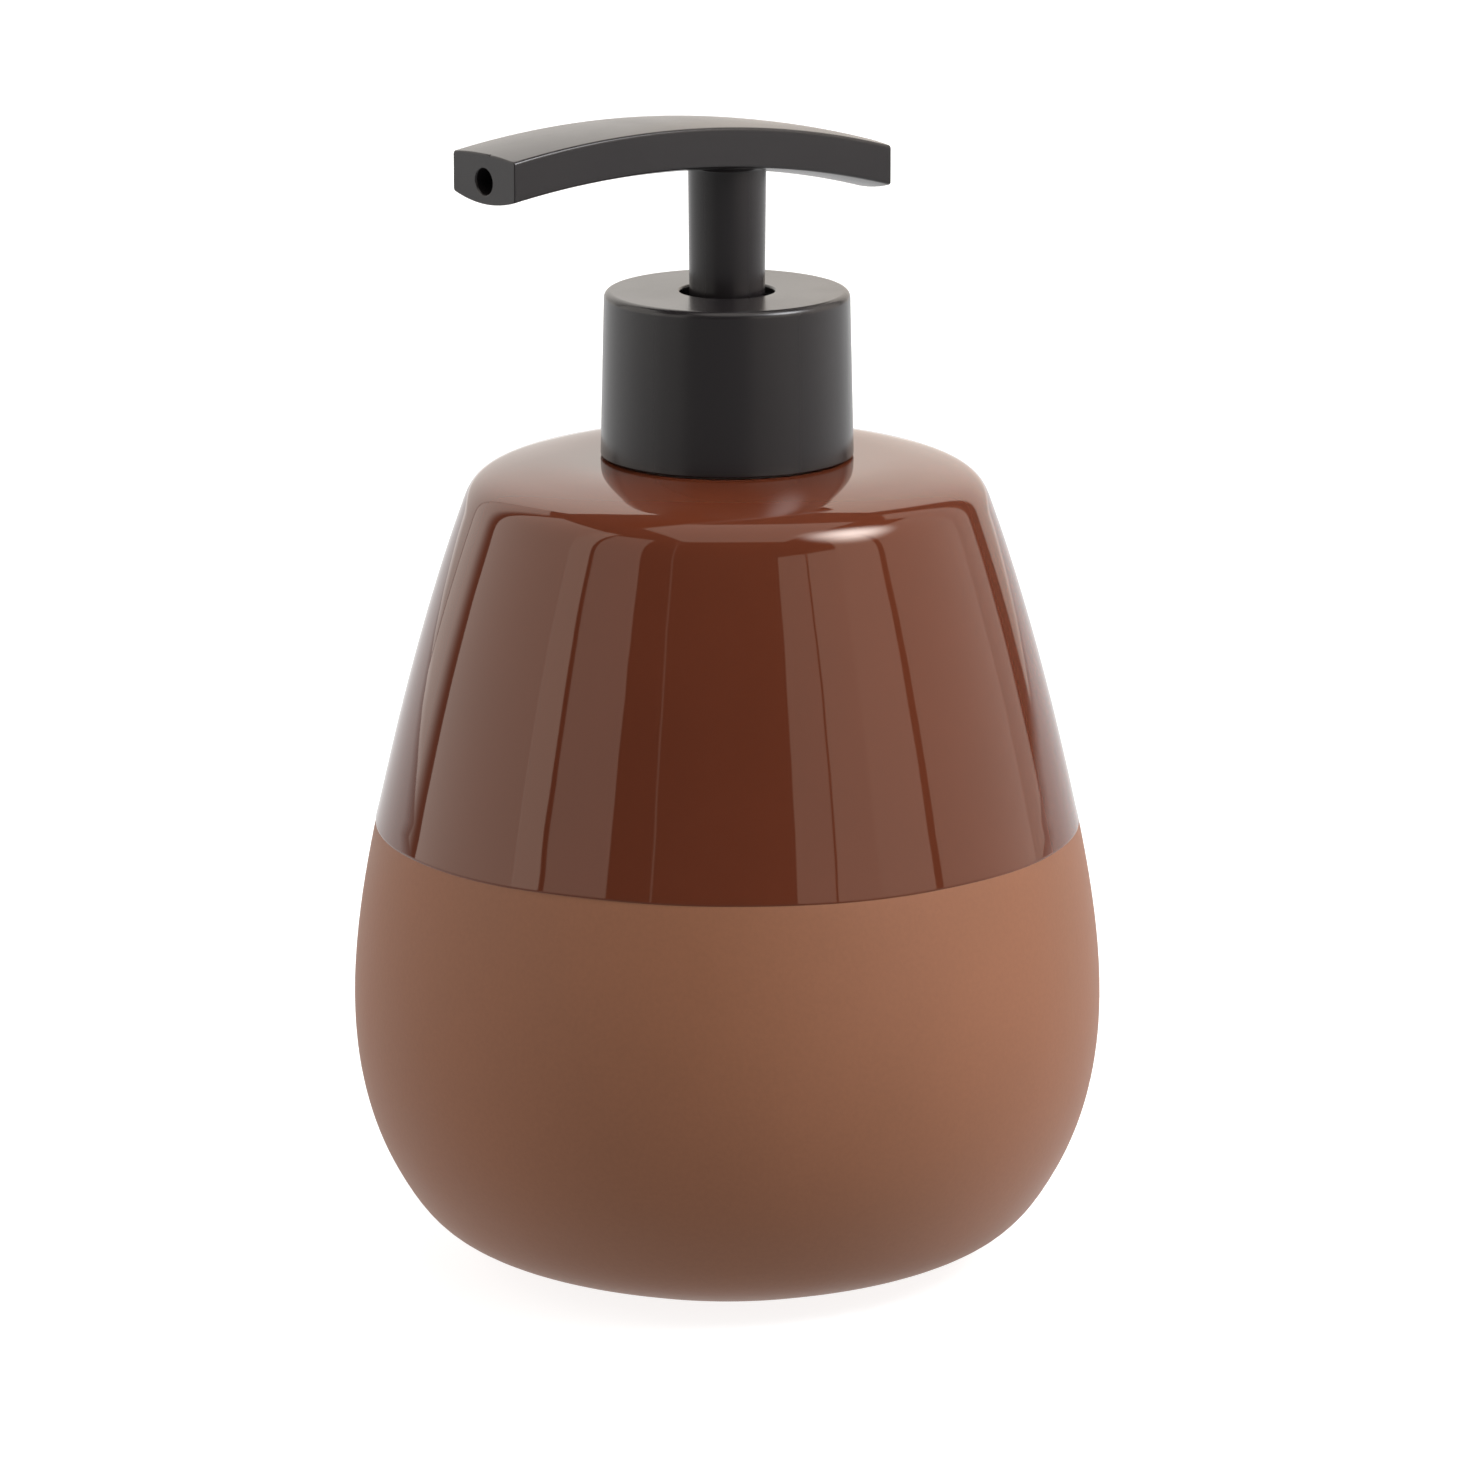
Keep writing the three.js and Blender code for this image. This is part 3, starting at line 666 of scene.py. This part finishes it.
def make_glaze():
    """The glaze: a coat that ends in a rounded, slightly wavy lip, proud of the clay."""
    outline = bottle_outline()
    line = np.array((np.interp(GLAZE_LINE, outline[:, 1], outline[:, 0]), GLAZE_LINE))
    upper = outline[outline[:, 1] > GLAZE_LINE + 0.7]
    share = np.clip((upper[:, 0] - PROUD_FROM_R) / (PROUD_R - PROUD_FROM_R), 0, 1)
    skin = upper + (inset(upper, -1) - upper) * GLAZE_PROUD * share[:, None] ** 2
    under = inset(upper, GLAZE_THICKNESS)[::-1]
    lip = [(0.0, -0.03), (0.6, -0.01), (1.0, 0.08), (1.0, 0.3)]
    lip = [line + (GLAZE_PROUD * out, up) for out, up in lip]
    foot = [line + (-GLAZE_THICKNESS, 0.5), line + (-GLAZE_THICKNESS, 0.0)]
    profile = [*lip, *skin, *under, *foot]

    def wave(angle, r, z):
        return r, z + max(0.0, 1 - (z - GLAZE_LINE) / WAVE_HEIGHT) * glaze_wave(angle)

    mesh = lathe_mesh("glaze_skin", profile, shift=wave)
    finish_piece("glaze_skin", mesh, "bottle_body", "glaze", ["glaze_coat"], sharp_angle=80)


# ---------------------------------------------------------------- neck ring and closure

THREAD_PITCH = 4.23
THREAD_TURNS = 1.5
FLANGE_TOP = 110
THREAD_START = FLANGE_TOP + 1.9
THREAD_ROOT = 0.4


def wound_mesh(name, section, turns, place, segments=INNER_SEGMENTS, flip=False):
    """A closed section wound around Z; place(turn, x, y) gives a section point's (radius, height)."""
    steps = int(turns * segments)
    sections = []
    for turn in (turns * i / steps for i in range(steps + 1)):
        angle = 2 * math.pi * turn
        ring = [place(turn, x, y) for x, y in section]
        sections.append([(r * math.cos(angle), r * math.sin(angle), z) for r, z in ring])
    return skinned_mesh(name, sections, flip)


def thread_mesh(name, wall_r, crest_r, start_z):
    """A rounded trapezoid ridge wound around Z, fading out at both ends."""
    base, crest, edge_r = 1.0, 0.55, 0.18
    corners = [(wall_r, -base, 0), (crest_r, -crest, edge_r), (crest_r, crest, edge_r), (wall_r, base, 0)]
    section = rounded(corners)

    def place(turn, x, y):
        share = min(1.0, 0.05 + turn / 0.12, 0.05 + (THREAD_TURNS - turn) / 0.12)
        return wall_r + (x - wall_r) * share, start_z + THREAD_PITCH * turn + y * share

    return wound_mesh(name, section, THREAD_TURNS, place, flip=crest_r < wall_r)


def combined(name, operation, first, *others):
    """Closed meshes joined or cut by Blender's boolean."""
    helpers = [bpy.data.objects.new(name + "_tool", other) for other in others]
    for helper in helpers:
        bpy.context.scene.collection.objects.link(helper)
    settings = [{"operation": operation, "solver": "EXACT", "object": helper} for helper in helpers]
    mesh = with_modifiers(name, first, [("BOOLEAN", each) for each in settings])
    for helper in helpers:
        bpy.data.objects.remove(helper)
    return mesh


def make_neck_insert():
    """The ring in the bottle's mouth, with its flange and outside thread."""
    low, high = mm_box("neck_insert")
    root_r, crest_r, bore_r, plug_r, flange_r = 12.65, 13.85, 9, 11.9, high.x
    corners = [
        (bore_r, low.z, 0.2),
        (plug_r, low.z, 0.4),
        (plug_r, SHOULDER_Z, 0),
        (flange_r, SHOULDER_Z, 0.2),
        (flange_r, FLANGE_TOP, 0.35),
        (root_r, FLANGE_TOP, 0.4),
        (root_r, high.z, 0.4),
        (bore_r, high.z, 0.4),
    ]
    body = lathe_mesh("neck_ring", rounded(corners), INNER_SEGMENTS)
    thread = thread_mesh("neck_thread", root_r - THREAD_ROOT, crest_r, THREAD_START)
    mesh = combined("neck_ring", "UNION", body, thread)
    finish_piece("neck_ring", mesh, "bottle_body", "natural_plastic", ["neck_insert"])


def make_closure():
    """The cap inside the collar, with its inside thread."""
    low, high = mm_box("threaded_closure")
    wall_r, crest_r, ceiling, hole_r = 14.1, 13.0, 122.85, 9.5
    corners = [
        (wall_r, low.z, 0.25),
        (high.x, low.z, 0.25),
        (high.x, high.z, 0.4),
        (hole_r, high.z, 0.3),
        (hole_r, ceiling, 0.2),
        (wall_r, ceiling, 0.4),
    ]
    body = lathe_mesh("inner_cap", rounded(corners), INNER_SEGMENTS)
    thread = thread_mesh("cap_thread", wall_r + THREAD_ROOT, crest_r, THREAD_START + THREAD_PITCH / 2)
    mesh = combined("inner_cap", "UNION", body, thread)
    finish_piece("inner_cap", mesh, "closure", "black_plastic", ["threaded_closure"])


def make_collar():
    """The black outer skirt, slightly narrower at its top, with the hole for the stem."""
    low, high = mm_box("collar_shell")
    bore_r, ceiling, hole_r, draft = 15.1, 129.7, 6.25, 0.53
    corners = [
        (bore_r, low.z, 0.15),
        (high.x, low.z, 0.22),
        (high.x - draft, high.z, 0.95),
        (hole_r, high.z, 0.35),
        (hole_r, ceiling, 0.15),
        (bore_r, ceiling, 0.6),
    ]
    mesh = lathe_mesh("collar", rounded(corners, steps=8))
    finish_piece("collar", mesh, "closure", "black_plastic", ["collar_shell"])


# ---------------------------------------------------------------- head

BAR_LOW, BAR_HIGH = mm_box("nozzle_bar")
BAR_SPOUT, BAR_BACK = -BAR_LOW.x, BAR_HIGH.x
BAR_HALF_WIDTH, BAR_TOP = BAR_HIGH.y, BAR_HIGH.z
BAR_SIDE = 5.2
TOP_CROWN, BOTTOM_CROWN = 0.4, 1.0
ARCH_R = 150
EDGE_R = 0.45
END_R = 0.18
OUTLET_Z, OUTLET_R = 149.85, 1.7
OUTLET_INNER_Z, OUTLET_INNER_R = 151, 1.25
OUTLET_SEGMENTS = 48
CHAMBER_R, CHAMBER_FOOT, CHAMBER_TOP = 2.2, 146, 152.2


def arch_z(x):
    """Height of the bar's upper side edges at a place along it."""
    apex_x = (BAR_SPOUT + BAR_BACK) / 3 - BAR_SPOUT
    return BAR_TOP - TOP_CROWN - ARCH_R + math.sqrt(ARCH_R**2 - (x - apex_x) ** 2)


def bar_section(shrink):
    """The bar's crowned section, as (y, z) below its upper side edges, made smaller all round."""
    half = BAR_HALF_WIDTH
    crown = np.linspace(-1, 1, 13)[1:-1]
    top = [(half * s, TOP_CROWN * (1 - s * s), 0) for s in crown]
    bottom = [(-half * s, -BAR_SIDE - BOTTOM_CROWN * (1 - s * s), 0) for s in crown]
    corners = [(-half, 0, EDGE_R), *top, (half, 0, EDGE_R)]
    corners += [(half, -BAR_SIDE, EDGE_R), *bottom, (-half, -BAR_SIDE, EDGE_R)]
    centre = -BAR_SIDE / 2 - (BOTTOM_CROWN - TOP_CROWN) / 2
    tall = (BAR_SIDE + TOP_CROWN + BOTTOM_CROWN) / 2
    section = rounded(corners, steps=7)
    narrower, lower = (half - shrink) / half, (tall - shrink) / tall
    return [(y * narrower, centre + (z - centre) * lower) for y, z in section]


def bar_mesh():
    """The bar as sections along its length, which shrink around the rounded edges of both end faces."""
    quarter = [math.radians(90 * k / 6) for k in range(7)]
    ends = [(END_R * (1 - math.sin(a)), END_R * (1 - math.cos(a))) for a in quarter]
    stations = [(-BAR_SPOUT + x, shrink) for x, shrink in ends]
    stations += [(x, 0.0) for x in np.linspace(-BAR_SPOUT + END_R, BAR_BACK - END_R, 90)[1:-1]]
    stations += [(BAR_BACK - x, shrink) for x, shrink in ends]
    sections = []
    for x, shrink in sorted(stations):
        sections.append([(x, y, arch_z(x) + z) for y, z in bar_section(shrink)])
    return skinned_mesh("bar", sections)


def outlet_tool():
    """The tapered outlet channel with a slightly rounded rim at the end face."""
    start = Vector((-BAR_SPOUT - 1, 0, OUTLET_Z))
    along = Vector((0, 0, OUTLET_INNER_Z)) - start
    rim = [(OUTLET_R + 0.3, 0.0), (OUTLET_R + 0.25, 0.95), (OUTLET_R + 0.05, 1.12), (OUTLET_R, 1.3)]
    profile = [(0, 0), *rim, (OUTLET_INNER_R, along.length), (0, along.length)]
    mesh = lathe_mesh("outlet_tool", profile, OUTLET_SEGMENTS)
    turn = along.to_track_quat("Z", "Y").to_matrix().to_4x4()
    mesh.transform(Matrix.Translation(start * MM) @ turn)
    return mesh


def gate_tool():
    """A tiny nick in the end face's top edge, cut by a four-sided spindle."""
    radius, half_height, beside = 0.32, 0.3, -1.2
    mesh = lathe_mesh("gate_tool", [(0, -half_height), (radius, 0), (0, half_height)], 4)
    place = Vector((-BAR_SPOUT, beside, arch_z(-BAR_SPOUT) + TOP_CROWN))
    mesh.transform(Matrix.Translation(place * MM))
    return mesh


def make_bar():
    """The press bar with its outlet, the chamber above the stem and the nick of the gate."""
    wall = [(CHAMBER_R, CHAMBER_FOOT), (CHAMBER_R, CHAMBER_TOP)]
    chamber = lathe_mesh("chamber_tool", [(0, CHAMBER_FOOT), *wall, (0, CHAMBER_TOP)], OUTLET_SEGMENTS)
    bar = combined("press_bar", "DIFFERENCE", bar_mesh(), chamber, outlet_tool(), gate_tool())
    finish_piece("press_bar", bar, "head", "black_plastic", ["nozzle_bar"])


def make_sleeve():
    """The black tube, which widens in a small fillet where it meets the bar."""
    low, high = mm_box("head_sleeve")
    foot_r, top_r, bore_r, outlet_r, seat, under = 4.92, 5.14, 3.55, 2.2, 147.1, 147.3
    corners = [
        (bore_r, low.z, 0.2),
        (foot_r, low.z, 0.4),
        (top_r, under, 0),
        (top_r + 0.12, under + 0.3, 0),
        (top_r + 0.4, under + 0.6, 0),
        (top_r + 0.7, under + 0.75, 0),
        (top_r + 0.7, high.z, 0),
        (outlet_r, high.z, 0),
        (outlet_r, seat, 0),
        (bore_r, seat, 0),
    ]
    mesh = lathe_mesh("stem_sleeve", rounded(corners), 160)
    finish_piece("stem_sleeve", mesh, "head", "black_plastic", ["head_sleeve"])


# ---------------------------------------------------------------- spring

SPRING_TURNS, SPRING_COIL_R, SPRING_WIRE_R = 8, 4.0, 0.45
SPRING_SEGMENTS, WIRE_SIDES = 48, 16


def make_spring():
    """The return spring, with a closed turn at each end."""
    low, high = mm_box("return_spring")
    foot, top = low.z + SPRING_WIRE_R, high.z - SPRING_WIRE_R
    closed = 2.05 * SPRING_WIRE_R
    ring = [2 * math.pi * k / WIRE_SIDES for k in range(WIRE_SIDES)]
    section = [(SPRING_WIRE_R * math.cos(a), SPRING_WIRE_R * math.sin(a)) for a in ring]
    turns = (0, 1, SPRING_TURNS - 1, SPRING_TURNS)
    heights = (foot, foot + closed, top - closed, top)

    def place(turn, x, y):
        return SPRING_COIL_R + x, np.interp(turn, turns, heights) + y

    mesh = wound_mesh("spring", section, SPRING_TURNS, place, SPRING_SEGMENTS)
    piece = finish_piece("spring", mesh, "pump_core", "steel", ["return_spring"])
    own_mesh(piece)


# ---------------------------------------------------------------- carried-over CAD nodes


def dress_cad_nodes():
    """Gives every CAD node that still shows the material of its slot."""
    slots = {part["node"]: part["material_slot"] for part in frame["record"]["subparts"]}
    for name, node in frame["nodes"].items():
        if not node.hide_render:
            node.data.materials.clear()
            node.data.materials.append(MATERIALS[slots[name]])


make_camera()
make_stage()
make_bottle()
make_glaze()
make_neck_insert()
make_closure()
make_collar()
make_bar()
make_sleeve()
make_spring()
dress_cad_nodes()
